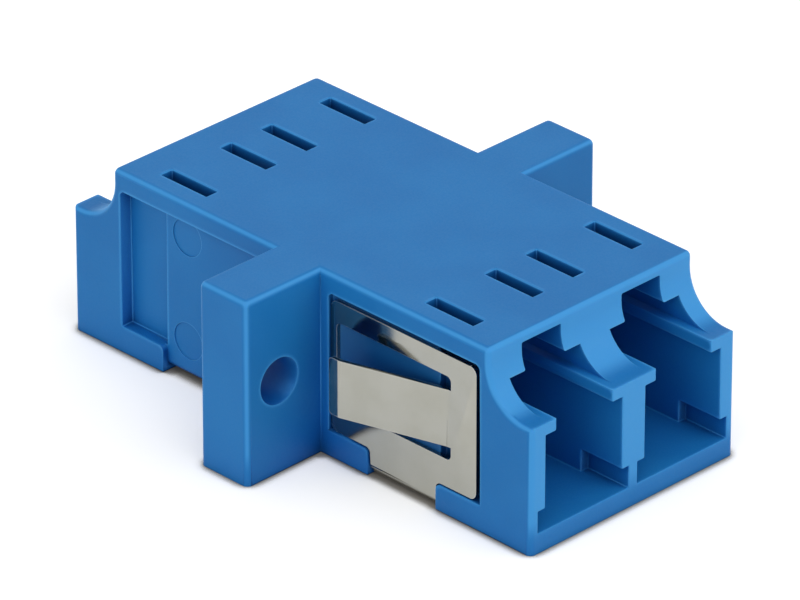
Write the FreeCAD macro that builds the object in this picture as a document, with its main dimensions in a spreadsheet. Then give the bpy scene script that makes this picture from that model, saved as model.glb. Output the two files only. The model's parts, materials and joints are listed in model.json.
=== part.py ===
"""Duplex LC fibre adapter with a screw flange and a sheet-metal panel clip.

Frame: millimetres, +Z up, origin at the centre of the underside.  X runs across
the two screw ears, Y runs through the ports; the clip is on the -Y (front) half.
"""
import FreeCAD
import Part
import Sketcher
import os

# ---------------------------------------------------------------- dimensions
# name, value in millimetres (angles in degrees), what it is
DIMENSIONS = [
    # housing, outside
    ("body_width", 12.9, "across the two ports, fits a 13.0 cut-out"),
    ("body_height", 9.3, "underside to top face, fits a 9.5 cut-out"),
    ("body_length", 29.1, "end face to end face along the ports"),
    ("shelf_length", 2.675, "how far the end face stands out past the top face"),
    ("scallop_drop", 2.95, "top face to the flat end of the scallop"),
    ("scallop_radius", 2.2, "round between the scallop's wall and its floor"),
    ("side_round", 0.3, "round on the upright, top and scallop edges of the sides"),
    ("brow_round", 0.25, "round where the top face meets a scallop"),
    # screw flange
    ("flange_width", 22.0, "ear tip to ear tip"),
    ("flange_thickness", 3.0, "along the ports"),
    ("flange_round", 0.3, "round on the upright and upper edges of the ears"),
    ("ear_end", 2.0, "centre of a screw hole to the tip of its ear, 18.0 hole to hole"),
    ("screw_hole", 2.3, "diameter, clearance for an M2 screw"),
    # ports, which take what the walls leave: 4.8 wide and 6.25 from axis to axis
    ("side_wall", 0.925, "between a port and the side"),
    ("divider", 1.45, "wall between the two ports"),
    ("port_floor", 1.0, "thickness of the floor"),
    ("relief_step", 0.45, "how much wider a port is at the foot of its mouth, each side"),
    ("relief_height", 1.1, "of that wider foot"),
    ("relief_depth", 2.5, "of that wider foot, in from the end face"),
    ("rail_gap", 3.5, "opening between the two rails"),
    ("rail_thickness", 0.6, "height of the rails, flush with the scallop's floor"),
    ("latch_channel_width", 4.4, "across the two latch shoulders of a plug"),
    ("latch_channel_height", 1.2, "for the latch shoulders"),
    ("latch_slot_width", 2.44, "for the latch arm"),
    ("latch_slot_roof", 0.45, "wall left above the latch arm slot"),
    ("latch_depth", 8.1, "of channel and slot, in from the end face"),
    ("bulkhead_thickness", 2.0, "wall between front and rear ports"),
    ("window_width", 0.7, "of the slots in the top face"),
    ("window_length", 2.95, "of the slots in the top face"),
    ("window_inset", 6.15, "end face to the centre of a slot"),
    # clip recesses in the sides
    ("rib_width", 0.5, "wall between flange and recess"),
    ("end_block", 3.15, "solid side between recess and end face"),
    ("recess_depth", 0.3, "of the side recesses and the channels below"),
    ("recess_roof", 0.98, "side left above the recess"),
    ("recess_round", 0.3, "corner round of the recess"),
    ("strip_depth", 0.68, "of the deeper strip beside the end block"),
    ("foot_height", 1.33, "of the two feet under the recess"),
    ("inner_foot", 2.45, "length of the foot beside the flange"),
    ("end_foot", 2.7, "length of the foot beside the end block"),
    ("foot_round", 0.25, "round at the top corner of a foot"),
    ("wrap_round", 0.3, "round that the clip bends over"),
    ("mark_radius", 0.92, "of the two ejector pin marks"),
    ("mark_depth", 0.05, "of the ejector marks and the core insert mark"),
    ("mark_height", 2.05, "underside to the lower ejector mark's centre"),
    ("mark_roof_gap", 0.05, "upper ejector mark to the recess roof"),
    ("mark_centre", 7.33, "middle plane to the ejector marks"),
    ("insert_start", 2.4, "middle plane to the core insert mark"),
    ("insert_end", 4.78, "middle plane to the far side of that mark"),
    ("insert_top", 4.87, "underside to the top of that mark"),
    ("insert_round", 0.5, "its free corner"),
    # panel clip, one folded sheet
    ("sheet", 0.2, "thickness of the spring steel"),
    ("sheet_gap", 0.02, "clearance between clip and housing"),
    ("bend_radius", 0.32, "inside radius where the clip turns under the body"),
    ("leg_gap_start", 0.1, "leg edge to recess edge at the flange"),
    ("leg_gap_end", 0.28, "leg edge to the end block"),
    ("leg_gap_top", 0.3, "leg edge to the recess roof"),
    ("leg_gap_foot", 0.06, "leg edge to the feet"),
    ("leg_round", 0.4, "outer corners of a leg"),
    ("neck_gap", 0.08, "neck edge to the feet"),
    ("frame_start", 0.35, "band of the leg beside the flange"),
    ("frame_end", 1.56, "band of the leg beside the end block"),
    ("frame_top", 1.05, "band of the leg above the window"),
    ("window_height", 4.2, "of the window in the leg"),
    ("tab_height", 2.86, "of the spring tab in the window"),
    ("panel_room", 2.06, "ear to tab tip, for a panel up to 2 thick"),
    ("tab_reach", 1.58, "how far the bend stands out from the leg"),
    ("tab_tip", 0.6, "flat tip past the bend"),
    ("tab_bend", 0.5, "inside radius of the tab's two bends"),
    ("tab_root_gap", 0.2, "from the end of the slots to the tab's first bend"),
    ("tab_round", 0.2, "corners of the tip"),
    ("window_round", 0.28, "corners of the window"),
    # ferrule sleeves and their holders
    ("sleeve_bore", 1.25, "for a 1.25 ferrule"),
    ("sleeve_wall", 0.175, "of the split ceramic sleeve"),
    ("sleeve_length", 6.8, "of the split ceramic sleeve"),
    ("sleeve_slit", 0.3, "width of the slit along it"),
    ("sleeve_float", 0.05, "radial room round the sleeve in its holders"),
    ("sleeve_end_float", 0.1, "room at each end of the sleeve"),
    ("holder_wall", 0.5, "of the tube round the sleeve"),
    ("holder_lip", 0.3, "end wall that keeps the sleeve in"),
    ("holder_mouth", 1.42, "diameter of the hole in that end wall, at the sleeve"),
    ("holder_funnel", 0.12, "how much the hole's radius grows to the outside"),
    ("holder_nose", 0.12, "bevel round the tube's end"),
    ("holder_plate", 0.8, "thickness of the square plate"),
    ("holder_fit", 0.05, "room between plate and port walls"),
    ("spigot_wall", 0.42, "of the spigot in the bulkhead"),
    ("spigot_fit", 0.03, "radial room between spigot and bulkhead"),
    ("spigot_gap", 0.1, "between the front and rear spigots"),
    ("seat_gap", 0.02, "between a holder's plate and the bulkhead"),
]

doc = FreeCAD.newDocument("fibre_adapter")
sheet = doc.addObject("Spreadsheet::Sheet", "dims")
for row, (alias, value, meaning) in enumerate(DIMENSIONS, start=1):
    sheet.set("A%d" % row, alias)
    sheet.set("B%d" % row, str(value))
    sheet.set("C%d" % row, meaning)
    sheet.setAlias("B%d" % row, alias)
doc.recompute()

# sizes that follow from the ones above, as expressions on the sheet
HALF_WIDTH = "dims.body_width / 2"
HALF_LENGTH = "dims.body_length / 2"
HALF_TOP = HALF_LENGTH + " - dims.shelf_length"
TOP = "dims.body_height"
SCREW_AXIS = "dims.flange_width / 2 - dims.ear_end"
FLANGE_FACE = "dims.flange_thickness / 2"
BULKHEAD_FACE = "dims.bulkhead_thickness / 2"
PORT_INSIDE = "dims.divider / 2"
PORT_OUTSIDE = "(" + HALF_WIDTH + " - dims.side_wall)"
PORT_AXIS = "(" + PORT_OUTSIDE + " + " + PORT_INSIDE + ") / 2"
HALF_PORT = "(" + PORT_OUTSIDE + " - " + PORT_INSIDE + ") / 2"
RAIL_TOP = "dims.body_height - dims.scallop_drop"
RAIL_UNDERSIDE = RAIL_TOP + " - dims.rail_thickness"
PORT_HEIGHT = "(" + RAIL_UNDERSIDE + " - dims.port_floor)"
CHANNEL_TOP = RAIL_TOP + " + dims.latch_channel_height"
SLOT_TOP = "dims.body_height - dims.latch_slot_roof"
RECESS_START = FLANGE_FACE + " + dims.rib_width"
RECESS_END = HALF_LENGTH + " - dims.end_block"
RECESS_TOP = "dims.body_height - dims.recess_roof"
PASSAGE_START = RECESS_START + " + dims.inner_foot"
PASSAGE_END = HALF_LENGTH + " - dims.end_block - dims.end_foot"
LEG_INSIDE = "dims.body_width / 2 - dims.recess_depth + dims.sheet_gap"
LEG_START = RECESS_START + " + dims.leg_gap_start"
LEG_END = RECESS_END + " - dims.leg_gap_end"
LEG_OUTSIDE = LEG_INSIDE + " + dims.sheet"
LEG_TOP = RECESS_TOP + " - dims.leg_gap_top"
LEG_FOOT = "dims.foot_height + dims.leg_gap_foot"
SLOT_END = LEG_END + " - dims.frame_end"
TAB_ROOT = SLOT_END + " - dims.tab_root_gap"
TAB_END = FLANGE_FACE + " + dims.panel_room"
TAB_BEND = TAB_END + " + dims.tab_tip"
TAB_SLANT = "(" + TAB_ROOT + " - (" + TAB_BEND + "))"
TAB_MITRE = " + dims.sheet * tan(atan(dims.tab_reach / " + TAB_SLANT + ") / 2)"
SLEEVE_OUTER = "dims.sleeve_bore / 2 + dims.sleeve_wall"
HOLDER_INNER = SLEEVE_OUTER + " + dims.sleeve_float"
HOLDER_OUTER = HOLDER_INNER + " + dims.holder_wall"
SLEEVE_END = "dims.sleeve_length / 2 + dims.sleeve_end_float"
SPIGOT_OUTER = HOLDER_INNER + " + dims.spigot_wall"
HOLDER_SEAT = BULKHEAD_FACE + " + dims.seat_gap"
AXIS_HEIGHT = "dims.port_floor + " + PORT_HEIGHT + " / 2"


def size(expression):
    """The value of an expression on the sheet."""
    return float(sheet.evalExpression(expression.replace("dims.", "")))


def negative(expression):
    return "-(" + expression + ")"


# ------------------------------------------------------------ sketch helpers
def new_body(label):
    body = doc.addObject("PartDesign::Body", label)
    body.Label = label
    return body


def sketch_on(body, plane, name, offset=None):
    """A sketch on one of the body's origin planes, moved along its normal."""
    sketch = body.newObject("Sketcher::SketchObject", name)
    support = [item for item in body.Origin.OriginFeatures if item.Role == plane][0]
    sketch.AttachmentSupport = [(support, "")]
    sketch.MapMode = "FlatFace"
    if offset is not None:
        sketch.setExpression("AttachmentOffset.Base.z", offset)
    return sketch


def pin_point(sketch, edge, end, across, up):
    """Hold one end of an edge at two expressions from the sketch origin."""
    for kind, expression in (("DistanceX", across), ("DistanceY", up)):
        index = sketch.addConstraint(
            Sketcher.Constraint(kind, -1, 1, edge, end, size(expression)))
        sketch.setExpression("Constraints[%d]" % index, expression)


def arc_between(start, end, radius, left):
    """The arc from start to end, bulging to the right when left is true."""
    chord = end - start
    middle = (start + end) * 0.5
    height = max(radius * radius - chord.Length * chord.Length / 4, 0) ** 0.5
    normal = FreeCAD.Vector(-chord.y, chord.x, 0).normalize()
    centre = middle + normal * (height if left else -height)
    circle = Part.Circle(centre, FreeCAD.Vector(0, 0, 1), radius)
    if left:
        return Part.ArcOfCircle(circle, circle.parameter(start), circle.parameter(end)), 1
    return Part.ArcOfCircle(circle, circle.parameter(end), circle.parameter(start)), 2


def outline(sketch, points):
    """A closed outline through points given as expressions.

    A point is (across, up), reached by a straight line, or (across, up, radius, side),
    reached by an arc whose centre lies to the left or right of the way travelled.
    """
    places = [FreeCAD.Vector(size(point[0]), size(point[1]), 0) for point in points]
    ends = []
    for index, point in enumerate(points):
        start, end = places[index - 1], places[index]
        if len(point) == 2:
            edge = sketch.addGeometry(Part.LineSegment(start, end), False)
            ends.append((edge, 1, 2))
            continue
        arc, first = arc_between(start, end, size(point[2]), point[3] == "left")
        edge = sketch.addGeometry(arc, False)
        ends.append((edge, first, 3 - first))
        held = sketch.addConstraint(Sketcher.Constraint("Radius", edge, size(point[2])))
        sketch.setExpression("Constraints[%d]" % held, point[2])
    for index, point in enumerate(points):
        edge, first, last = ends[index]
        after, after_first = ends[(index + 1) % len(points)][:2]
        pin_point(sketch, edge, last, point[0], point[1])
        sketch.addConstraint(Sketcher.Constraint("Coincident", edge, last, after, after_first))


def box_outline(sketch, left, right, low, high):
    outline(sketch, [(left, low), (right, low), (right, high), (left, high)])


def circle_outline(sketch, across, up, radius):
    centre = FreeCAD.Vector(size(across), size(up), 0)
    edge = sketch.addGeometry(Part.Circle(centre, FreeCAD.Vector(0, 0, 1), size(radius)), False)
    held = sketch.addConstraint(Sketcher.Constraint("Radius", edge, size(radius)))
    sketch.setExpression("Constraints[%d]" % held, radius)
    pin_point(sketch, edge, 3, across, up)


# ----------------------------------------------------------- feature helpers
def pad(body, sketch, length, symmetric=False, reverse=False):
    feature = body.newObject("PartDesign::Pad", "pad_" + sketch.Name)
    feature.Profile = sketch
    feature.SideType = "Symmetric" if symmetric else "One side"
    feature.Reversed = reverse
    feature.setExpression("Length", length)
    doc.recompute()
    return feature


def pocket(body, sketch, depth=None, symmetric=False, reverse=False):
    """Cut the sketch into the body, to a depth or right through."""
    before = body.Shape.Volume
    feature = body.newObject("PartDesign::Pocket", "pocket_" + sketch.Name)
    feature.Profile = sketch
    feature.SideType = "Symmetric" if symmetric else "One side"
    feature.Reversed = reverse
    if depth is None:
        feature.Type = "ThroughAll"
    else:
        feature.setExpression("Length", depth)
    doc.recompute()
    if not body.Shape.Volume < before:
        raise RuntimeError(sketch.Name + " cuts nothing")
    return feature


def mirrored(body, feature, plane):
    """The same feature again on the other side of one of the origin planes."""
    before = body.Shape.Volume
    copy = body.newObject("PartDesign::Mirrored", "mirror_" + feature.Name)
    copy.Originals = [feature]
    support = [item for item in body.Origin.OriginFeatures if item.Role == plane][0]
    copy.MirrorPlane = (support, [""])
    body.Tip = copy
    doc.recompute()
    if abs(body.Shape.Volume - before) < 1e-6:
        raise RuntimeError(feature.Name + " has no mirror image")
    return copy


def round_edges(body, name, radius, wanted):
    """Fillet every edge of the body that the test picks out."""
    edges = body.Shape.Edges
    picked = ["Edge%d" % number for number, edge in enumerate(edges, start=1) if wanted(edge)]
    if not picked:
        raise RuntimeError(name + " finds no edge")
    base = body.Tip
    feature = body.newObject("PartDesign::Fillet", name)
    feature.Base = (base, picked)
    feature.setExpression("Radius", radius)
    doc.recompute()
    return feature


def turned(body, sketch, kind):
    """Turn the sketch a full circle about its level axis, to add (Revolution) or cut (Groove)."""
    before = body.Shape.Volume
    feature = body.newObject("PartDesign::" + kind, "turn_" + sketch.Name)
    feature.Profile = sketch
    feature.ReferenceAxis = (sketch, ["H_Axis"])
    body.Tip = feature
    doc.recompute()
    if abs(body.Shape.Volume - before) < NEAR:
        raise RuntimeError(sketch.Name + " changes nothing")
    return feature


def fuse_in(body, other):
    """Join a helper body to this one."""
    before = body.Shape.Volume
    feature = body.newObject("PartDesign::Boolean", "with_" + other.Name)
    feature.Type = "Fuse"
    feature.setObjects([other])
    doc.recompute()
    if not body.Shape.Volume > before:
        raise RuntimeError(other.Name + " adds nothing")
    return feature


NEAR = 1e-4


def at(value, expression):
    return abs(value - size(expression)) < NEAR


# ------------------------------------------------------------------- housing
def scallop_profile():
    """Side view of the block: long foot, shorter top, a scallop at each end."""
    wall = HALF_TOP + " + dims.scallop_radius"
    bend = RAIL_TOP + " + dims.scallop_radius"
    return [
        (negative(HALF_LENGTH), "0"),
        (HALF_LENGTH, "0"),
        (HALF_LENGTH, RAIL_TOP),
        (wall, RAIL_TOP),
        (HALF_TOP, bend, "dims.scallop_radius", "right"),
        (HALF_TOP, TOP),
        (negative(HALF_TOP), TOP),
        (negative(HALF_TOP), bend),
        (negative(wall), RAIL_TOP, "dims.scallop_radius", "right"),
        (negative(HALF_LENGTH), RAIL_TOP),
    ]


def port_profile(centre):
    """End view of one port: plug nose, rails, latch shoulders and latch arm."""
    steps = [
        (HALF_PORT, "dims.port_floor"),
        (HALF_PORT, RAIL_UNDERSIDE),
        ("dims.rail_gap / 2", RAIL_UNDERSIDE),
        ("dims.rail_gap / 2", RAIL_TOP),
    ]
    right = [(centre + " + " + across, up) for across, up in steps]
    left = [(centre + " - " + across, up) for across, up in reversed(steps)]
    return right + left


def latch_profile(centre):
    steps = [
        ("dims.latch_channel_width / 2", RAIL_TOP),
        ("dims.latch_channel_width / 2", CHANNEL_TOP),
        ("dims.latch_slot_width / 2", CHANNEL_TOP),
        ("dims.latch_slot_width / 2", SLOT_TOP),
    ]
    right = [(centre + " + " + across, up) for across, up in steps]
    left = [(centre + " - " + across, up) for across, up in reversed(steps)]
    return right + left


def recess_profile():
    """Side view of a clip recess: two feet with an open passage between them."""
    top = RECESS_TOP
    corner = "dims.recess_round"
    foot = "dims.foot_height"
    bead = "dims.foot_round"
    return [
        (PASSAGE_START, "0"),
        (PASSAGE_END, "0"),
        (PASSAGE_END, foot + " - " + bead),
        (PASSAGE_END + " + " + bead, foot, bead, "right"),
        (RECESS_END, foot),
        (RECESS_END, top + " - " + corner),
        (RECESS_END + " - " + corner, top, corner, "left"),
        (RECESS_START + " + " + corner, top),
        (RECESS_START, top + " - " + corner, corner, "left"),
        (RECESS_START, foot),
        (PASSAGE_START + " - " + bead, foot),
        (PASSAGE_START, foot + " - " + bead, bead, "right"),
    ]


def swapped(points):
    """The same outline on the other side of the middle plane."""
    turned = []
    for index, point in enumerate(points):
        following = points[(index + 1) % len(points)]
        place = (negative(point[0]), point[1])
        if len(following) == 4:
            place += (following[2], following[3])
        turned.append(place)
    return list(reversed(turned))


def build_flange():
    """The bar through the block whose two ends are the screw ears."""
    bar = new_body("flange_bar")
    ears = sketch_on(bar, "XZ_Plane", "flange_view")
    box_outline(ears, "-dims.flange_width / 2", "dims.flange_width / 2", "0", TOP)
    pad(bar, ears, "dims.flange_thickness", symmetric=True)
    round_edges(bar, "ear_rounds", "dims.flange_round", lambda edge: edge.BoundBox.ZMax > NEAR)
    return bar


def build_housing():
    body = new_body("housing")

    side = sketch_on(body, "YZ_Plane", "side_view")
    outline(side, scallop_profile())
    pad(body, side, "dims.body_width", symmetric=True)

    def side_edge(edge):
        box = edge.BoundBox
        return box.XLength < NEAR and box.ZMax > NEAR
    round_edges(body, "side_rounds", "dims.side_round", side_edge)

    def brow_edge(edge):
        box = edge.BoundBox
        return box.XLength > NEAR and box.YLength < NEAR and at(box.ZMin, TOP)
    round_edges(body, "brow_rounds", "dims.brow_round", brow_edge)

    fuse_in(body, build_flange())

    ports = sketch_on(body, "XZ_Plane", "front_ports", BULKHEAD_FACE)
    for centre in (PORT_AXIS, negative(PORT_AXIS)):
        outline(ports, port_profile(centre))
    cut = pocket(body, ports, reverse=True)
    mirrored(body, cut, "XZ_Plane")

    latches = sketch_on(body, "XZ_Plane", "front_latch_ways", HALF_LENGTH + " - dims.latch_depth")
    for centre in (PORT_AXIS, negative(PORT_AXIS)):
        outline(latches, latch_profile(centre))
    cut = pocket(body, latches, reverse=True)
    mirrored(body, cut, "XZ_Plane")

    reliefs = sketch_on(body, "XZ_Plane", "front_reliefs", HALF_LENGTH + " - dims.relief_depth")
    for centre in (PORT_AXIS, negative(PORT_AXIS)):
        half_relief = HALF_PORT + " + dims.relief_step"
        box_outline(reliefs, centre + " - (" + half_relief + ")", centre + " + " + half_relief,
                    "dims.port_floor", "dims.port_floor + dims.relief_height")
    cut = pocket(body, reliefs, reverse=True)
    mirrored(body, cut, "XZ_Plane")

    windows = sketch_on(body, "XY_Plane", "front_windows", TOP)
    for centre in (PORT_AXIS, negative(PORT_AXIS)):
        outer = "dims.latch_channel_width / 2"
        inner = outer + " - dims.window_width"
        middle = "dims.window_inset - (" + HALF_LENGTH + ")"
        near = middle + " - dims.window_length / 2"
        far = middle + " + dims.window_length / 2"
        box_outline(windows, centre + " + " + inner, centre + " + " + outer, near, far)
        box_outline(windows, centre + " - " + outer, centre + " - (" + inner + ")", near, far)
    cut = pocket(body, windows, TOP + " - (" + CHANNEL_TOP + ") + dims.latch_channel_height / 2")
    mirrored(body, cut, "XZ_Plane")

    bores = sketch_on(body, "XZ_Plane", "bulkhead_bores")
    for centre in (PORT_AXIS, negative(PORT_AXIS)):
        circle_outline(bores, centre, AXIS_HEIGHT, SPIGOT_OUTER + " + dims.spigot_fit")
    pocket(body, bores, "dims.bulkhead_thickness * 2", symmetric=True)

    screws = sketch_on(body, "XZ_Plane", "screw_holes")
    for centre in (SCREW_AXIS, negative(SCREW_AXIS)):
        circle_outline(screws, centre, TOP + " / 2", "dims.screw_hole / 2")
    pocket(body, screws, "dims.flange_thickness * 2", symmetric=True)

    recesses = sketch_on(body, "YZ_Plane", "side_recesses", HALF_WIDTH)
    outline(recesses, recess_profile())
    outline(recesses, swapped(recess_profile()))
    cut = pocket(body, recesses, "dims.recess_depth")
    mirrored(body, cut, "YZ_Plane")

    strips = sketch_on(body, "YZ_Plane", "side_strips", HALF_WIDTH)
    corner = "dims.recess_round"
    strip = [
        (PASSAGE_END, "dims.foot_height"),
        (RECESS_END, "dims.foot_height"),
        (RECESS_END, RECESS_TOP + " - " + corner),
        (RECESS_END + " - " + corner, RECESS_TOP, corner, "left"),
        (PASSAGE_END, RECESS_TOP),
    ]
    outline(strips, strip)
    outline(strips, swapped(strip))
    cut = pocket(body, strips, "dims.strip_depth")
    mirrored(body, cut, "YZ_Plane")

    channels = sketch_on(body, "XY_Plane", "clip_channels")
    for near, far in ((PASSAGE_START, PASSAGE_END),
                      (negative(PASSAGE_END), negative(PASSAGE_START))):
        box_outline(channels, negative(HALF_WIDTH), HALF_WIDTH, near, far)
    pocket(body, channels, "dims.recess_depth", reverse=True)

    def wrap_edge(edge):
        box = edge.BoundBox
        along = box.YLength > NEAR and box.XLength < NEAR and box.ZLength < NEAR
        corner_x = at(abs(box.XMin), HALF_WIDTH + " - dims.recess_depth")
        return along and corner_x and at(box.ZMin, "dims.recess_depth")
    round_edges(body, "wrap_rounds", "dims.wrap_round", wrap_edge)

    marks = sketch_on(body, "YZ_Plane", "ejector_marks",
                      "-dims.body_width / 2 + dims.recess_depth")
    for height in ("dims.mark_height", RECESS_TOP + " - dims.mark_roof_gap - dims.mark_radius"):
        circle_outline(marks, "dims.mark_centre", height, "dims.mark_radius")
    pocket(body, marks, "dims.mark_depth", reverse=True)

    insert = sketch_on(body, "YZ_Plane", "insert_mark", "dims.body_width / 2 - dims.recess_depth")
    outline(insert, [
        ("dims.insert_start", "dims.foot_height"),
        ("dims.insert_end", "dims.foot_height"),
        ("dims.insert_end", "dims.insert_top - dims.insert_round"),
        ("dims.insert_end - dims.insert_round", "dims.insert_top", "dims.insert_round", "left"),
        ("dims.insert_start", "dims.insert_top"),
    ])
    pocket(body, insert, "dims.mark_depth")
    return body


# ---------------------------------------------------------------------- clip
def neck_cuts():
    """Side view of what is cut away under a leg, each side of its neck."""
    neck_start = PASSAGE_START + " + dims.neck_gap"
    neck_end = PASSAGE_END + " - dims.neck_gap"
    before = LEG_START + " - dims.sheet"
    after = LEG_END + " + dims.sheet"
    low = "-dims.sheet"
    bead = "(dims.foot_round + dims.neck_gap)"
    beside_flange = [
        (before, low),
        (neck_start, low),
        (neck_start, LEG_FOOT + " - " + bead),
        (neck_start + " - " + bead, LEG_FOOT, bead, "left"),
        (before, LEG_FOOT),
    ]
    beside_end = [
        (neck_end, low),
        (after, low),
        (after, LEG_FOOT),
        (neck_end + " + " + bead, LEG_FOOT),
        (neck_end, LEG_FOOT + " - " + bead, bead, "left"),
    ]
    return beside_flange, beside_end


def window_profile():
    """Side view of the window in a leg; the slots beside the tab end in rounds."""
    near = LEG_START + " + dims.frame_start"
    far = SLOT_END
    high = LEG_TOP + " - dims.frame_top"
    low = high + " - dims.window_height"
    corner = "dims.window_round"
    return [
        (near + " + " + corner, low, corner, "left"),
        (far + " - " + corner, low),
        (far, low + " + " + corner, corner, "left"),
        (far, high + " - " + corner),
        (far + " - " + corner, high, corner, "left"),
        (near + " + " + corner, high),
        (near, high + " - " + corner, corner, "left"),
        (near, low + " + " + corner),
    ]


def tab_profile():
    """Top view of a tab: flat at its root, slanting out, then flat at its tip."""
    buried = negative(SLOT_END + " + dims.frame_end / 2")
    return [
        (LEG_INSIDE, buried),
        (LEG_OUTSIDE, buried),
        (LEG_OUTSIDE, negative(TAB_ROOT + TAB_MITRE)),
        (LEG_OUTSIDE + " + dims.tab_reach", negative(TAB_BEND + TAB_MITRE)),
        (LEG_OUTSIDE + " + dims.tab_reach", negative(TAB_END)),
        (LEG_INSIDE + " + dims.tab_reach", negative(TAB_END)),
        (LEG_INSIDE + " + dims.tab_reach", negative(TAB_BEND)),
        (LEG_INSIDE, negative(TAB_ROOT)),
    ]


def build_clip():
    """One folded sheet: two legs with a spring tab each, joined under the body."""
    body = new_body("mounting_clip")
    inside = LEG_INSIDE
    outside = LEG_OUTSIDE
    ceiling = "dims.recess_depth - dims.sheet_gap"
    floor = ceiling + " - dims.sheet"
    bend = "dims.bend_radius"
    wrap = "(dims.bend_radius + dims.sheet)"

    fold = sketch_on(body, "XZ_Plane", "clip_fold", LEG_START)
    outline(fold, [
        (outside, LEG_TOP),
        (inside, LEG_TOP),
        (inside, ceiling + " + " + bend),
        (inside + " - " + bend, ceiling, bend, "right"),
        (negative(inside) + " + " + bend, ceiling),
        (negative(inside), ceiling + " + " + bend, bend, "right"),
        (negative(inside), LEG_TOP),
        (negative(outside), LEG_TOP),
        (negative(outside), floor + " + " + wrap),
        (negative(outside) + " + " + wrap, floor, wrap, "left"),
        (outside + " - " + wrap, floor),
        (outside, floor + " + " + wrap, wrap, "left"),
    ])
    pad(body, fold, LEG_END + " - (" + LEG_START + ")")

    necks = sketch_on(body, "YZ_Plane", "neck_cuts")
    for cut in neck_cuts():
        outline(necks, swapped(cut))
    pocket(body, necks, "dims.body_width * 2", symmetric=True)

    def leg_corner(edge):
        box = edge.BoundBox
        straight = box.YLength < NEAR and box.ZLength < NEAR
        at_end = at(-box.YMin, LEG_START) or at(-box.YMin, LEG_END)
        return straight and at_end and (at(box.ZMin, LEG_TOP) or at(box.ZMin, LEG_FOOT))
    round_edges(body, "leg_rounds", "dims.leg_round", leg_corner)

    window = sketch_on(body, "YZ_Plane", "leg_windows")
    outline(window, swapped(window_profile()))
    pocket(body, window, "dims.body_width * 2", symmetric=True)

    tab_low = LEG_TOP + " - dims.frame_top - (dims.window_height + dims.tab_height) / 2"
    tab = sketch_on(body, "XY_Plane", "spring_tab", tab_low)
    outline(tab, tab_profile())
    feature = pad(body, tab, "dims.tab_height")
    mirrored(body, feature, "YZ_Plane")

    tab_bends = (
        ("tab_hollows", "dims.tab_bend", (LEG_OUTSIDE, TAB_ROOT + TAB_MITRE),
         (LEG_INSIDE + " + dims.tab_reach", TAB_BEND)),
        ("tab_backs", "dims.tab_bend + dims.sheet", (LEG_INSIDE, TAB_ROOT),
         (LEG_OUTSIDE + " + dims.tab_reach", TAB_BEND + TAB_MITRE)),
    )
    for name, radius, first, second in tab_bends:
        def tab_bend(edge):
            box = edge.BoundBox
            upright = box.XLength < NEAR and box.YLength < NEAR
            places = [at(abs(box.XMin), across) and at(-box.YMin, along)
                      for across, along in (first, second)]
            return upright and any(places)
        round_edges(body, name, radius, tab_bend)

    def tab_corner(edge):
        box = edge.BoundBox
        straight = box.YLength < NEAR and box.ZLength < NEAR
        return straight and at(-box.YMin, TAB_END)
    round_edges(body, "tab_corners", "dims.tab_round", tab_corner)
    return body


# --------------------------------------------------------- ferrule alignment
def build_sleeve(label, side):
    """A split ceramic tube, slit along its top, between the two ports of a side."""
    body = new_body(label)
    ring = sketch_on(body, "XZ_Plane", label + "_ring")
    circle_outline(ring, "0", "0", SLEEVE_OUTER)
    circle_outline(ring, "0", "0", "dims.sleeve_bore / 2")
    pad(body, ring, "dims.sleeve_length", symmetric=True)
    slit = sketch_on(body, "XZ_Plane", label + "_slit")
    box_outline(slit, "-dims.sleeve_slit / 2", "dims.sleeve_slit / 2", "0", "dims.sleeve_bore")
    pocket(body, slit, "dims.sleeve_length * 2", symmetric=True)
    body.setExpression("Placement.Base.x", "%d * %s" % (side, PORT_AXIS))
    body.setExpression("Placement.Base.z", AXIS_HEIGHT)
    doc.recompute()
    return body


def build_holder(label, side, end):
    """A tube round half a sleeve, on a square plate against the bulkhead.

    It is drawn for the front port and turned about its upright for the rear one.
    """
    body = new_body(label)
    tube_end = SLEEVE_END + " + dims.holder_lip"
    half_plate = "(" + HALF_PORT + " - dims.holder_fit)"
    half_height = "(" + PORT_HEIGHT + " / 2 - dims.holder_fit)"

    plate = sketch_on(body, "XZ_Plane", label + "_plate", HOLDER_SEAT)
    box_outline(plate, negative(half_plate), half_plate, negative(half_height), half_height)
    pad(body, plate, "dims.holder_plate")

    tube = sketch_on(body, "YZ_Plane", label + "_tube")
    nose = "dims.holder_nose"
    outline(tube, [
        ("-dims.spigot_gap / 2", "0"),
        ("-dims.spigot_gap / 2", SPIGOT_OUTER),
        (negative(HOLDER_SEAT), SPIGOT_OUTER),
        (negative(HOLDER_SEAT), HOLDER_OUTER),
        (negative(tube_end) + " + " + nose, HOLDER_OUTER),
        (negative(tube_end), HOLDER_OUTER + " - " + nose),
        (negative(tube_end), "0"),
    ])
    turned(body, tube, "Revolution")

    bore = sketch_on(body, "YZ_Plane", label + "_bore")
    mouth = "dims.holder_mouth / 2"
    outline(bore, [
        ("0", "0"),
        ("0", HOLDER_INNER),
        (negative(SLEEVE_END), HOLDER_INNER),
        (negative(SLEEVE_END), mouth),
        (negative(tube_end), mouth + " + dims.holder_funnel"),
        (negative(tube_end), "0"),
    ])
    turned(body, bore, "Groove")

    body.setExpression("Placement.Base.x", "%d * %s" % (side, PORT_AXIS))
    body.setExpression("Placement.Base.z", AXIS_HEIGHT)
    body.Placement.Rotation = FreeCAD.Rotation(FreeCAD.Vector(0, 0, 1), 0 if end < 0 else 180)
    doc.recompute()
    return body


# ---------------------------------------------------------------- whole part
SIDES = (("left", -1), ("right", 1))
ENDS = (("front", -1), ("rear", 1))

parts = [build_housing(), build_clip()]
for side_name, side in SIDES:
    parts.append(build_sleeve("split_sleeve_" + side_name, side))
    for end_name, end in ENDS:
        label = "sleeve_holder_%s_%s" % (end_name, side_name)
        parts.append(build_holder(label, side, end))

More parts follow.
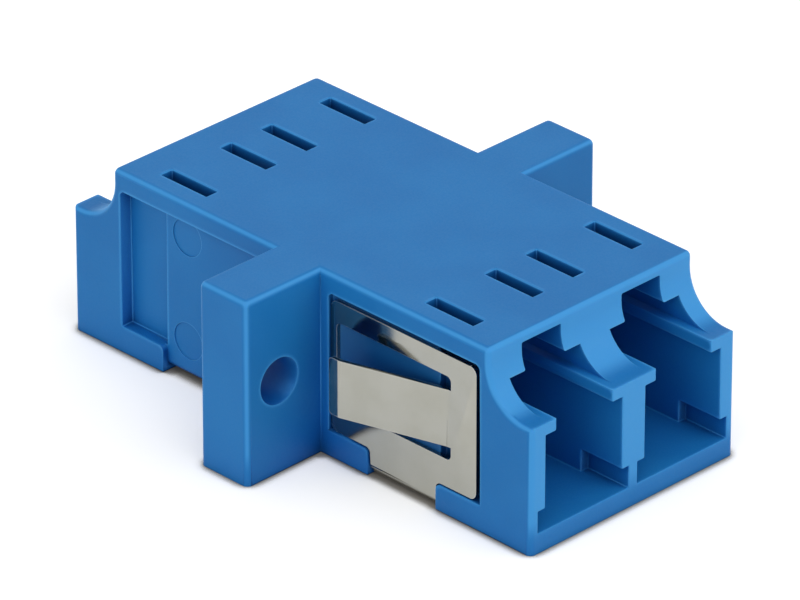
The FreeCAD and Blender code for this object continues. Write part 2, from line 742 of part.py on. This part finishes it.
doc.recompute()
for item in doc.Objects:
    if "Invalid" in item.State or "Error" in item.State:
        raise RuntimeError(item.Name + " did not rebuild")
for part in parts:
    if part.Shape.isNull() or not part.Shape.isValid() or len(part.Shape.Solids) != 1:
        raise RuntimeError(part.Label + " is not one valid solid")

os.makedirs("parts", exist_ok=True)
for part in parts:
    part.Shape.exportStep(os.path.join("parts", part.Label + ".step"))
    print("%-28s %9.3f mm3 %4d faces" % (part.Label, part.Shape.Volume, len(part.Shape.Faces)))
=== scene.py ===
# %% [markdown]
# # A duplex fibre adapter, dressed in Blender
# The adapter couples four fibre plugs, two on each side of a panel. It is a satin blue moulding
# with a bright sheet-steel clip folded round its front half. Inside each port a small tube holds
# one half of a split ceramic sleeve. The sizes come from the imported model, so this lesson only
# adds surfaces: soft moulded edges, rolled steel, ground ceramic, and a studio to see them in.

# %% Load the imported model
import json
import math

import bmesh
import bpy
import numpy as np
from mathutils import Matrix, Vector


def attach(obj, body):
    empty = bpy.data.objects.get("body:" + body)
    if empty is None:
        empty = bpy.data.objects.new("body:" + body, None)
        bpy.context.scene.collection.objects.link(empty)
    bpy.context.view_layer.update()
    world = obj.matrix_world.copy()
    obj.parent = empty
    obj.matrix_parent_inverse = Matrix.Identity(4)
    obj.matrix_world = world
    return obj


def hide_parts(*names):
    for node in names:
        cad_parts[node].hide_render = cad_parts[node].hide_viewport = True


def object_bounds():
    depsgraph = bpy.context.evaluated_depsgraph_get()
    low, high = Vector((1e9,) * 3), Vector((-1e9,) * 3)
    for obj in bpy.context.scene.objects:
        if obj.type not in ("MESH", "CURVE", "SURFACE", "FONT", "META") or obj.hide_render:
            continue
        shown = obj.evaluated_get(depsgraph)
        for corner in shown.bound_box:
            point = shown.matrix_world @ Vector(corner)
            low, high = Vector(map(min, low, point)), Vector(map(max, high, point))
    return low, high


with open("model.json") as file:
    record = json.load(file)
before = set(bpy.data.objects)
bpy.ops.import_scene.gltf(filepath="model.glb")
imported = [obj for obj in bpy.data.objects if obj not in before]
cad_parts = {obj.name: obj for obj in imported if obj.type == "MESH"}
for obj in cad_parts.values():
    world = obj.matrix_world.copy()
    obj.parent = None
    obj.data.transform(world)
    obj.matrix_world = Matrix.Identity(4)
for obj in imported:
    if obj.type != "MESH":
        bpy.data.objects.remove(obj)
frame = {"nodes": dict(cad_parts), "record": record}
cad_box = [list(corner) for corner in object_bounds()]
MM = 0.001
print("nodes:", sorted(frame["nodes"]))
print("size in mm:", [round((high - low) / MM, 2) for low, high in zip(*cad_box)])


# %% [markdown]
# ## Shader maths as plain Python
# A material is a graph of nodes, and long graphs are hard to read. One small class wraps a socket
# and gives it the usual operators, so that `1 - mask * 0.5` adds two Math nodes by itself.
# Colours and vectors don't pass through Math nodes, so they have methods of their own.

# %% A socket that does arithmetic
class Wire:
    """One output of a material's node tree; +, * and a number minus it add Math nodes."""

    def __init__(self, material, socket):
        self.material = material
        self.socket = socket

    def maths(self, operation, *others, swap=False):
        terms = (self, *others)
        if swap:
            terms = terms[::-1]
        values = dict(enumerate(terms))
        return self.material.node("ShaderNodeMath", {"operation": operation}, values)

    def __add__(self, other):
        return self.maths("ADD", other)

    def __rsub__(self, other):
        return self.maths("SUBTRACT", other, swap=True)

    def __mul__(self, other):
        return self.maths("MULTIPLY", other)

    def largest(self, other):
        """The larger of the two values at each point."""
        return self.maths("MAXIMUM", other)

    def size(self):
        """The value without its sign."""
        return self.maths("ABSOLUTE")

    def part(self, axis):
        """One component of a vector."""
        return self.material.node("ShaderNodeSeparateXYZ", {}, {"Vector": self}, axis)

    def scaled(self, factors):
        """The vector, each axis times its own factor."""
        return self.material.node("ShaderNodeVectorMath", {"operation": "MULTIPLY"},
                                  {0: self, 1: factors})

    def between(self, start, end, low=0.0, high=1.0):
        """A smooth step from low at start to high at end."""
        return self.material.node("ShaderNodeMapRange", {"interpolation_type": "SMOOTHSTEP"},
                                  {"Value": self, "From Min": start, "From Max": end,
                                   "To Min": low, "To Max": high})

    def blend(self, first, second):
        """The first colour where this mask is 0, and the second where it is 1."""
        return self.material.node("ShaderNodeMix", {"data_type": "RGBA"},
                                  {"Factor": self, 6: first, 7: second}, "Result_Color")


class Finish:
    """A material under construction, with its Principled shader ready."""

    def __init__(self, name, **settings):
        self.data = bpy.data.materials.new(name)
        self.data.use_nodes = True
        self.tree = self.data.node_tree
        self.shader = self.tree.nodes["Principled BSDF"]
        for socket, value in settings.items():
            self.shader.inputs[socket.replace("_", " ")].default_value = value

    def node(self, kind, settings, values, output=0):
        """Any node: its settings first, then a value or a link for each named socket."""
        node = self.tree.nodes.new(kind)
        for name, value in settings.items():
            setattr(node, name, value)
        for key, value in values.items():
            if isinstance(value, Wire):
                self.tree.links.new(value.socket, node.inputs[key])
            else:
                node.inputs[key].default_value = value
        if isinstance(output, str):
            found = [item for item in node.outputs if output in (item.identifier, item.name)]
            return Wire(self, found[0])
        return Wire(self, node.outputs[output])

    def place(self):
        """Where the point lies on the piece, in metres."""
        return self.node("ShaderNodeTexCoord", {}, {}, "Object")

    def noise(self, place, grain, detail=2.0, roughness=0.5):
        """Cloudy noise whose blotches are about one grain across, from 0 to 1."""
        return self.node("ShaderNodeTexNoise", {}, {"Vector": place, "Scale": 1 / grain,
                                                    "Detail": detail, "Roughness": roughness})

    def bump(self, height, depth, under=None):
        """Tilts the surface as if height 1 stood out by depth metres."""
        values = {"Strength": 1.0, "Distance": depth, "Height": height}
        if under is not None:
            values["Normal"] = under
        return self.node("ShaderNodeBump", {}, values)

    def soft_edge(self, radius):
        """A normal that rounds every sharp edge by that radius."""
        return self.node("ShaderNodeBevel", {"samples": 6}, {"Radius": radius})

    def facing(self):
        """The way the surface faces, as a vector in the piece's own axes."""
        return self.node("ShaderNodeTexCoord", {}, {}, "Normal")

    def closeness(self, reach, inside, alone=True):
        """How much lies within reach of a point: behind the surface, or in front of it.

        Behind it, 1 is a sharp edge or a thin wall. In front of it, 1 is the bottom of a hole.
        Unless the piece is tested alone, what other pieces hide counts too.
        """
        openness = self.node("ShaderNodeAmbientOcclusion",
                             {"inside": inside, "only_local": alone, "samples": 8},
                             {"Distance": reach}, "AO")
        return 1.0 - openness

    def feed(self, **wires):
        for socket, wire in wires.items():
            self.tree.links.new(wire.socket, self.shader.inputs[socket.replace("_", " ")])
        return self.data


# %% [markdown]
# ## Satin blue plastic
# Adapter bodies are injection moulded in blue, the colour code of single-mode fibre. The mould is
# lightly spark-eroded, so the skin is satin and not glossy. Subsurface light adds the soft glow, a
# fine bump breaks up the sheen, and slow clouds in the colour stand for the flow of the pigment.
#
# The plastic lets a little light in, so a sharp edge or a thin wall is lit from two sides at once
# and looks paler than the bulk; that light is painted into the colour, and the sharpest edges get
# a painted highlight. A ray test inside the wall finds those places, which a mask painted by hand
# would have to guess. The roundings and the end faces get painted light too, and the ports, holes
# and corners get painted shade, as the studio's plain light doesn't bring that out by itself. The
# recess floors behind the clip get painted shade by their place, because the ray test leaves them
# out.

# %% The moulding's colours
BULK = ((0.0085, 0.159, 0.445, 1), (0.011, 0.177, 0.475, 1))
# Painted light: a paler blue on end faces, thin walls and roundings, and a painted highlight blue
# on the sharpest edges.
PAINTED_LIGHT_BLUE = (0.048, 0.300, 0.670, 1)
PAINTED_HIGHLIGHT_BLUE = (0.090, 0.400, 0.800, 1)
# Painted shade: a dark blue deep in the ports and holes, and a darker one in corners and behind
# the clip.
PAINTED_PORT_SHADE = (0.001, 0.086, 0.400, 1)
PAINTED_DEEP_SHADE = (0.002, 0.042, 0.150, 1)
EDGE_REACH = 0.15 * MM
WALL_REACH = 0.25 * MM
CORNER_REACH = 2.2 * MM
PORT_REACH = 6.0 * MM


def painted_light_places(finish, place):
    """Painted light, 1 on end faces, thin walls and roundings; the painted highlight on the
    sharpest edges comes second.

    Both fade out towards the underside, where little light comes from below.
    """
    facing = finish.facing()
    across, along, up = (facing.part(axis).size() for axis in "XYZ")
    near_end = place.part("Y").size().between(11.0 * MM, 11.6 * MM)
    raised = place.part("Z").between(0.6 * MM, 1.8 * MM, 0.15, 1.0)
    ends = near_end * along.between(0.12, 0.55)
    rounding_highlight = (1.0 - across.largest(along).largest(up)).between(0.01, 0.22, 0.0, 0.85)
    thin = finish.closeness(WALL_REACH, inside=True).between(0.10, 0.55)
    rim_highlights = finish.closeness(EDGE_REACH, inside=True).between(0.40, 0.85)
    return ends.largest(thin).largest(rounding_highlight) * raised, rim_highlights * raised


def shade_behind_clip(finish, place):
    """Painted shade, above 0 on the floors of the two side recesses that the clip's legs cover."""
    outward = place.part("X").size()
    recessed = (outward.between(6.08 * MM, 6.10 * MM)
                * outward.between(6.18 * MM, 6.20 * MM, 1.0, 0.0))
    clip_end = place.part("Y").between(-2.0 * MM, -1.9 * MM, 0.6, 0.0)
    return recessed * clip_end * finish.facing().part("X").size().between(0.8, 0.9)


# %% The moulding's finish
def moulded_blue():
    finish = Finish("moulded_blue", IOR=1.5, Specular_IOR_Level=0.19, Subsurface_Weight=0.15,
                    Subsurface_Scale=0.5 * MM, Subsurface_Anisotropy=0.0,
                    Subsurface_Radius=(0.2, 0.6, 1.0))
    place = finish.place()
    clouds = finish.noise(place, 4.0 * MM, detail=3.0)
    skin = finish.noise(place, 0.09 * MM, detail=2.0)
    # Painted light and painted highlight, paler than the plastic's own blue.
    pale, rim_highlights = painted_light_places(finish, place)
    # Painted shade deep in the ports and holes, in corners and on the recess floors behind the
    # clip.
    port_shade = finish.closeness(PORT_REACH, inside=False, alone=False).between(0.33, 0.88)
    deep_shade = finish.closeness(CORNER_REACH, inside=False, alone=False).between(0.40, 0.88)
    colour = clouds.between(0.3, 0.7).blend(*BULK)
    colour = pale.blend(colour, PAINTED_LIGHT_BLUE)
    colour = rim_highlights.blend(colour, PAINTED_HIGHLIGHT_BLUE)
    colour = port_shade.blend(colour, PAINTED_PORT_SHADE)
    colour = deep_shade.largest(shade_behind_clip(finish, place)).blend(colour, PAINTED_DEEP_SHADE)
    roughness = skin.between(0.3, 0.7, 0.42, 0.54)
    rounded = finish.soft_edge(0.04 * MM)
    grain = finish.bump(skin, 0.0022 * MM, rounded)
    return finish.feed(Base_Color=colour, Roughness=roughness, Normal=grain)


BLUE = moulded_blue()
print("made", BLUE.name)


# %% [markdown]
# ## Bright rolled strip
# The clip is cut from cold-rolled stainless strip. It mirrors what is round it, with fine lines
# along the rolling direction. The strip runs up one leg, under the body and down the other leg,
# so the lines run along Z on the legs: noise that is stretched fifty times along Z makes them.
# The sheared edges are rougher, and a paler colour on them is a painted highlight; the ray test
# inside the sheet finds them.

# %% The clip's finish
STEEL_FACE = ((0.365, 0.362, 0.318, 1), (0.395, 0.392, 0.352, 1))
STEEL_CUT_HIGHLIGHT = (0.80, 0.80, 0.78, 1)


def rolled_steel():
    finish = Finish("rolled_steel", Metallic=1.0)
    place = finish.place()
    lines = finish.noise(place.scaled((1.0, 1.0, 0.02)), 0.03 * MM, detail=3.0)
    smears = finish.noise(place, 1.5 * MM, detail=3.0)
    face = smears.between(0.25, 0.75).blend(*STEEL_FACE)
    cut = finish.closeness(0.10 * MM, inside=True).between(0.30, 0.70)
    # Painted highlight on the sheared edges, which are also really rougher.
    colour = cut.blend(face, STEEL_CUT_HIGHLIGHT)
    roughness = (lines * 0.05) + smears.between(0.3, 0.8, 0.07, 0.12) + (cut * 0.35)
    rounded = finish.soft_edge(0.02 * MM)
    grain = finish.bump(lines, 0.0002 * MM, rounded)
    return finish.feed(Base_Color=colour, Roughness=roughness, Normal=grain)


STEEL = rolled_steel()
print("made", STEEL.name)


# %% [markdown]
# ## Ground ceramic
# The sleeves are zirconia, ground to size: ivory white, with a soft gloss and faint rings left by
# the wheel. Rings across the tube are noise that changes only along Y.

# %% The sleeves' finish
def ground_ceramic():
    finish = Finish("ground_ceramic", IOR=2.1, Subsurface_Weight=0.15, Subsurface_Scale=0.2 * MM)
    place = finish.place()
    rings = finish.noise(place.scaled((0.0, 1.0, 0.0)), 0.02 * MM, detail=2.0)
    clouds = finish.noise(place, 0.6 * MM)
    colour = clouds.blend((0.82, 0.79, 0.71, 1), (0.88, 0.86, 0.80, 1))
    roughness = rings.between(0.3, 0.7, 0.18, 0.30)
    grain = finish.bump(rings, 0.0003 * MM)
    return finish.feed(Base_Color=colour, Roughness=roughness, Normal=grain)


CERAMIC = ground_ceramic()
print("made", CERAMIC.name)


# %% [markdown]
# ## Edges that catch the light
# No real edge is perfectly sharp: a mould's corners have a tiny radius, and a sheared sheet has
# a burr. A Bevel modifier makes such edges. It needs joined faces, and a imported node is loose
# triangles, so a copy is merged first, and each flat area becomes one face. Two roundings that
# would run into each other spoil the mesh. An edge is therefore rounded only if it's longer than
# four radii, which leaves the short steps of a curve alone, and if no sharp edge that it doesn't
# touch comes nearer than about two radii. The hollowed shelves over the ports stay as they are,
# because a rounding that ends on a curved face would pull creases across it.

# %% Which edges are sharp
SHARP_ANGLE = 35.0
FLAT_ANGLE = 0.5
SAME_POINT = 0.0002 * MM
SHARES = (0.05, 0.35, 0.65, 0.95)


def read(items, name, width, kind=np.float32):
    """One property of all items, such as all vertices' places, as rows of a numpy array."""
    values = np.empty(len(items) * width, dtype=kind)
    items.foreach_get(name, values)
    return values.reshape(-1, width)


def edge_angles(mesh):
    """The angle between the normals of the two faces that share each edge, in degrees."""
    normals = read(mesh.polygons, "normal", 3)
    corners = read(mesh.polygons, "loop_total", 1, np.int32).ravel()
    face_of_corner = np.repeat(np.arange(len(corners)), corners)
    by_edge = np.argsort(read(mesh.loops, "edge_index", 1, np.int32).ravel(), kind="stable")
    pairs = face_of_corner[by_edge].reshape(-1, 2)
    cosines = (normals[pairs[:, 0]] * normals[pairs[:, 1]]).sum(axis=1)
    return np.degrees(np.arccos(cosines.clip(-1, 1)))


def room_beside(ends, points):
    """How near each edge comes to any edge that doesn't touch it.

    Places at a few shares of its length are dropped onto the other edge's line, and held
    between that edge's ends.
    """
    starts = points[ends[:, 0]]
    along = points[ends[:, 1]] - starts
    touching = (ends[:, None, :, None] == ends[None, :, None, :]).any(axis=(2, 3))
    room = np.full(len(ends), np.inf)
    for share in SHARES:
        away = (starts + share * along)[:, None] - starts
        drop = (away * along).sum(axis=2) / (along ** 2).sum(axis=1)
        gaps = np.linalg.norm(away - drop.clip(0, 1)[..., None] * along, axis=2)
        room = np.minimum(room, np.where(touching, np.inf, gaps).min(axis=1))
    return room


# %% A merged copy with rounded edges
SPACING = 2.2
SHORTEST = 4.0
SHELF_START = 10.4 * MM
SHELF_FLOOR = 6.2 * MM


def merged_copy(name):
    """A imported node's mesh with its corners joined and each flat area made one face."""
    work = bmesh.new()
    work.from_mesh(frame["nodes"][name].data)
    bmesh.ops.remove_doubles(work, verts=work.verts, dist=SAME_POINT)
    bmesh.ops.dissolve_limit(work, angle_limit=math.radians(FLAT_ANGLE),
                             verts=work.verts, edges=work.edges)
    mesh = bpy.data.meshes.new(name + "_softened")
    work.to_mesh(mesh)
    work.free()
    return mesh


def free_edges(mesh, radius):
    """Which edges are sharp, and which of them have room for a rounding of the radius."""
    points = read(mesh.vertices, "co", 3)
    ends = read(mesh.edges, "vertices", 2, np.int32)
    sharp = edge_angles(mesh) > SHARP_ANGLE
    lengths = np.linalg.norm(points[ends[:, 1]] - points[ends[:, 0]], axis=1)
    free = np.zeros(len(ends), dtype=bool)
    free[sharp] = room_beside(ends[sharp], points) > SPACING * radius
    free &= lengths > SHORTEST * radius
    middles = points[ends].mean(axis=1)
    free &= (abs(middles[:, 1]) < SHELF_START) | (middles[:, 2] < SHELF_FLOOR)
    return sharp, free


def softened(name, radius):
    """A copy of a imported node, merged, with its free sharp edges rounded by the radius."""
    mesh = merged_copy(name)
    sharp, rounded = free_edges(mesh, radius)
    weights = mesh.attributes.new("bevel_weight_edge", "FLOAT", "EDGE")
    weights.data.foreach_set("value", rounded.astype(np.float32))
    creases = mesh.attributes.new("sharp_edge", "BOOLEAN", "EDGE")
    creases.data.foreach_set("value", sharp & ~rounded)
    mesh.polygons.foreach_set("use_smooth", np.ones(len(mesh.polygons), dtype=bool))
    piece = bpy.data.objects.new(mesh.name, mesh)
    bpy.context.scene.collection.objects.link(piece)
    bevel = piece.modifiers.new("rounded_edges", "BEVEL")
    bevel.limit_method = "WEIGHT"
    bevel.width = radius
    bevel.segments = 2
    bevel.use_clamp_overlap = False
    flats = piece.modifiers.new("flats_stay_flat", "WEIGHTED_NORMAL")
    flats.keep_sharp = True
    print(name, "has", int(sharp.sum()), "sharp edges and", int(rounded.sum()), "are rounded")
    return piece


# %% [markdown]
# ## The parts deep in the ports
# In each port stands a short tube on a square plate, pushed in from the end. Two of them, back
# to back, trap a split ceramic sleeve, in which two ferrules meet tip to tip. All are closed
# surfaces worked out on a grid. A holder is one outline that is carried round the port's axis.
# Its distance from the axis follows a superellipse, which is a circle at power 2 and nearly a
# square at power 18, so that tube and plate are one piece, as in the mould.

# %% Grids that close on themselves
def lattice(rows, columns, closed_rows):
    """Four-cornered faces between the rings of a grid, with the last ring joined if asked."""
    row = np.arange(rows if closed_rows else rows - 1)[:, None]
    column = np.arange(columns)[None]
    below, beside = (row + 1) % rows, (column + 1) % columns
    corners = [row * columns + column, row * columns + beside,
               below * columns + beside, below * columns + column]
    return np.stack(corners, axis=-1).reshape(-1, 4)


def signed_volume(points, faces):
    """The volume inside, as a sum of tetrahedra from the origin; below 0 if inside out."""
    a, b, c, d = (points[faces[:, corner]] for corner in range(4))
    return (np.cross(a, b) * c + np.cross(a, c) * d).sum() / 6


def surface_piece(name, grid, closed_rows, caps=()):
    """A piece from an array of points (ring, place in the ring, xyz), facing outwards."""
    points = grid.reshape(-1, 3)
    faces = lattice(grid.shape[0], grid.shape[1], closed_rows)
    if signed_volume(points, faces) < 0:
        faces = faces[:, ::-1]
        caps = [cap[::-1] for cap in caps]
    mesh = bpy.data.meshes.new(name)
    mesh.from_pydata(points.tolist(), [], faces.tolist() + [list(cap) for cap in caps])
    mesh.polygons.foreach_set("use_smooth", np.ones(len(mesh.polygons), dtype=bool))
    mesh.set_sharp_from_angle(angle=math.radians(SHARP_ANGLE))
    piece = bpy.data.objects.new(name, mesh)
    bpy.context.scene.collection.objects.link(piece)
    print(name, "has", len(mesh.polygons), "faces")
    return piece


def node_box(name):
    """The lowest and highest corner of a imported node."""
    points = read(frame["nodes"][name].data.vertices, "co", 3)
    return points.min(axis=0), points.max(axis=0)


# %% A sleeve holder
HOLDER_BORE = 0.85 * MM
SPIGOT_RADIUS = 1.27 * MM
TUBE_RADIUS = 1.35 * MM
MOUTH_RADIUS = 0.71 * MM
FUNNEL_RADIUS = 0.83 * MM
PLATE_BACK = 1.02 * MM
PLATE_FRONT = 1.82 * MM
LIP = 0.30 * MM
NOSE = 0.12 * MM
BREAK = 0.04 * MM
ROUND, SQUARE = 2.0, 18.0
STEPS_ROUND = 144


def holder(node, end):
    """The outline (distance along the port, half width, half height, power), turned.

    At the angle a, a point is (|cos a / width|^power + |sin a / height|^power)^(-1/power)
    from the axis.
    """
    low, high = node_box(node)
    middle = (low + high) / 2
    wide, tall = (high[0] - low[0]) / 2, (high[2] - low[2]) / 2
    near, far = sorted(abs(np.array([low[1], high[1]])))
    turn = np.linspace(0, math.pi / 2, 5)
    nose = [(far - NOSE + NOSE * math.sin(t), TUBE_RADIUS - NOSE + NOSE * math.cos(t))
            for t in turn]
    rounds = [(near, HOLDER_BORE), (near, SPIGOT_RADIUS - BREAK), (near + BREAK, SPIGOT_RADIUS),
              (PLATE_BACK, SPIGOT_RADIUS)]
    plate = [(PLATE_BACK, BREAK), (PLATE_BACK + BREAK, 0), (PLATE_FRONT - BREAK, 0),
             (PLATE_FRONT, BREAK)]
    tube = [(PLATE_FRONT, TUBE_RADIUS), *nose, (far, FUNNEL_RADIUS), (far - LIP, MOUTH_RADIUS),
            (far - LIP, HOLDER_BORE)]
    outline = np.array([(along, size, size, ROUND) for along, size in rounds]
                       + [(along, wide - inset, tall - inset, SQUARE) for along, inset in plate]
                       + [(along, size, size, ROUND) for along, size in tube])
    along, width, height, power = (outline[:, column, None] for column in range(4))
    angle = np.linspace(0, 2 * math.pi, STEPS_ROUND, endpoint=False)[None]
    across, up = np.cos(angle), np.sin(angle)
    reach = (abs(across / width) ** power + abs(up / height) ** power) ** (-1 / power)
    grid = np.stack([middle[0] + reach * across, end * along + 0 * angle,
                     middle[2] + reach * up], axis=-1)
    return surface_piece(node + "_shaped", grid, closed_rows=True)


# %% A split sleeve
SLEEVE_BORE = 0.625 * MM
SLEEVE_RADIUS = 0.80 * MM
HALF_SLIT = 0.15 * MM
SLEEVE_BREAK = 0.03 * MM
SLEEVE_STEPS = 97


def split_sleeve(node):
    """The wall's section, turned round the axis from one side of the slit to the other.

    Both sides of the slit are flat, so the turn starts where radius * sin(angle) is half a slit.
    """
    low, high = node_box(node)
    axis_x, axis_z = (low[0] + high[0]) / 2, low[2] + SLEEVE_RADIUS
    half = (high[1] - low[1]) / 2
    inset = half - SLEEVE_BREAK
    section = np.array([(-half, SLEEVE_BORE + SLEEVE_BREAK), (-half, SLEEVE_RADIUS - SLEEVE_BREAK),
                        (-inset, SLEEVE_RADIUS), (inset, SLEEVE_RADIUS),
                        (half, SLEEVE_RADIUS - SLEEVE_BREAK), (half, SLEEVE_BORE + SLEEVE_BREAK),
                        (inset, SLEEVE_BORE), (-inset, SLEEVE_BORE)])
    along, radius = section[:, 0][None], section[:, 1][None]
    start = np.arcsin(HALF_SLIT / radius)
    angle = start + np.linspace(0, 1, SLEEVE_STEPS)[:, None] * (2 * math.pi - 2 * start)
    grid = np.stack([axis_x + radius * np.sin(angle), along + 0 * angle,
                     axis_z + radius * np.cos(angle)], axis=-1)
    ring = np.arange(len(section))
    caps = [ring[::-1], ring + (len(angle) - 1) * len(section)]
    return surface_piece(node + "_shaped", grid, closed_rows=False, caps=caps)


# %% [markdown]
# ## Dress every piece
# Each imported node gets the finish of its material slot. The rounded and the worked-out pieces
# then stand in for their nodes, and move with the one body that the adapter is. The moulding's
# edges are rounded a little more than the sheared edges of the clip.

# %% Finishes, bodies and slots
HOUSING_EDGE = 0.07 * MM
CLIP_EDGE = 0.03 * MM
FINISH_OF_SLOT = {"blue_plastic": BLUE, "spring_steel": STEEL, "white_ceramic": CERAMIC}
slot_of_node = {row["node"]: row["material_slot"] for row in frame["record"]["subparts"]}


def dress(piece, slot):
    """The slot's finish, and no other, on the piece."""
    piece.data.materials.clear()
    piece.data.materials.append(FINISH_OF_SLOT[slot])


def stand_for(piece, node):
    """The piece takes the node's place, its body and its slot."""
    dress(piece, slot_of_node[node])
    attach(piece, "root")
    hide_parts(node)


for name, node in frame["nodes"].items():
    dress(node, slot_of_node[name])
stand_for(softened("housing", HOUSING_EDGE), "housing")
stand_for(softened("mounting_clip", CLIP_EDGE), "mounting_clip")
for side in ("left", "right"):
    stand_for(split_sleeve("split_sleeve_" + side), "split_sleeve_" + side)
    for word, end in (("front", -1), ("rear", 1)):
        node = "sleeve_holder_%s_%s" % (word, side)
        stand_for(holder(node, end), node)


# %% [markdown]
# ## Studio
# A pale floor and a plain white world. The camera and mirrors see both as white, through the Light
# Path node, while the light that they give the object stays at its own plain level. Close to the
# adapter the floor is darker, as the thin contact shadow of a thing that stands on paper.

# %% Floor and world
FLOOR_SIDE = 3.0
SKY_LIGHT = 0.66
FLOOR_LIGHT = 0.32
CONTACT_REACH = 0.60 * MM
PAPER = (0.9, 0.9, 0.9, 1)
PAPER_IN_SHADOW = (0.30, 0.28, 0.25, 1)
BLACK = (0, 0, 0, 1)


def seen_directly(finish):
    """1 for rays from the camera, and for those that a mirror or glass sends on."""
    path = finish.node("ShaderNodeLightPath", {}, {}, "Is Camera Ray")
    node = path.socket.node
    glossy = Wire(finish, node.outputs["Is Glossy Ray"])
    through = Wire(finish, node.outputs["Is Transmission Ray"])
    return path.largest(glossy).largest(through)


def studio_floor():
    finish = Finish("studio_floor", Roughness=0.9, Specular_IOR_Level=0.0,
                    Emission_Strength=1.0)
    touched = finish.closeness(CONTACT_REACH, inside=False, alone=False).between(0.05, 0.5)
    paper = touched.blend(PAPER, PAPER_IN_SHADOW)
    glow = touched.blend((FLOOR_LIGHT, FLOOR_LIGHT, FLOOR_LIGHT, 1), BLACK)
    glow = seen_directly(finish).blend(BLACK, glow)
    return finish.feed(Base_Color=paper, Emission_Color=glow)


half = FLOOR_SIDE / 2
corners = [(-half, -half, 0), (half, -half, 0), (half, half, 0), (-half, half, 0)]
floor_mesh = bpy.data.meshes.new("studio_floor")
floor_mesh.from_pydata(corners, [], [(0, 1, 2, 3)])
floor_mesh.materials.append(studio_floor())
floor = bpy.data.objects.new("studio_floor", floor_mesh)
bpy.context.scene.collection.objects.link(floor)

world = bpy.data.worlds.new("studio_world")
bpy.context.scene.world = world
world.use_nodes = True
sky = world.node_tree
background = sky.nodes["Background"]
background.inputs["Color"].default_value = (1, 1, 1, 1)
path = sky.nodes.new("ShaderNodeLightPath")


def sky_maths(operation, first, second):
    node = sky.nodes.new("ShaderNodeMath")
    node.operation = operation
    for socket, value in zip(node.inputs, (first, second)):
        if isinstance(value, bpy.types.NodeSocket):
            sky.links.new(value, socket)
        else:
            socket.default_value = value
    return node.outputs[0]


direct = sky_maths("MAXIMUM", path.outputs["Is Camera Ray"], path.outputs["Is Glossy Ray"])
direct = sky_maths("MAXIMUM", direct, path.outputs["Is Transmission Ray"])
extra = sky_maths("MULTIPLY", direct, 1 - SKY_LIGHT)
sky.links.new(sky_maths("ADD", extra, SKY_LIGHT), background.inputs["Strength"])


# %% [markdown]
# ## Lamps and camera
# One large soft lamp hangs above, and a weaker one stands on each side, so that no face is flat.
# The camera looks down on the clip's side and the front ports, through a long lens, which keeps
# the far end nearly as large as the near one.

# %% Lamps
def lamp(name, azimuth, elevation, distance, size, watts):
    """A square soft lamp on a sphere round the adapter, turned to face it."""
    data = bpy.data.lights.new(name, "AREA")
    data.size = size
    data.energy = watts
    across = math.cos(math.radians(elevation)) * distance
    place = Vector((math.sin(math.radians(azimuth)) * across,
                    -math.cos(math.radians(azimuth)) * across,
                    math.sin(math.radians(elevation)) * distance))
    item = bpy.data.objects.new(name, data)
    item.location = place
    item.rotation_euler = (-place).to_track_quat("-Z", "Y").to_euler()
    bpy.context.scene.collection.objects.link(item)


lamp("lamp_above", -20, 62, 0.6, 0.5, 1.0)
lamp("lamp_left", -80, 25, 0.6, 0.4, 0.5)
lamp("lamp_right", 40, 25, 0.6, 0.4, 0.4)

# %% Camera
CAMERA_AZIMUTH = -44.83
CAMERA_ELEVATION = 28.80
CAMERA_DISTANCE = 392.4 * MM
FOCAL_LENGTH = 393.9
SENSOR_WIDTH = 36

middle = Vector((0, 0, cad_box[1][2] / 2))
azimuth = math.radians(CAMERA_AZIMUTH)
elevation = math.radians(CAMERA_ELEVATION)
back = Vector((math.sin(azimuth) * math.cos(elevation),
               -math.cos(azimuth) * math.cos(elevation),
               math.sin(elevation)))
camera_data = bpy.data.cameras.new("camera")
camera_data.lens = FOCAL_LENGTH
camera_data.sensor_width = SENSOR_WIDTH
camera = bpy.data.objects.new("camera", camera_data)
camera.location = middle + back * CAMERA_DISTANCE
camera.rotation_euler = (-back).to_track_quat("-Z", "Y").to_euler()
bpy.context.scene.collection.objects.link(camera)
bpy.context.scene.camera = camera
bpy.context.scene.view_settings.view_transform = "Standard"
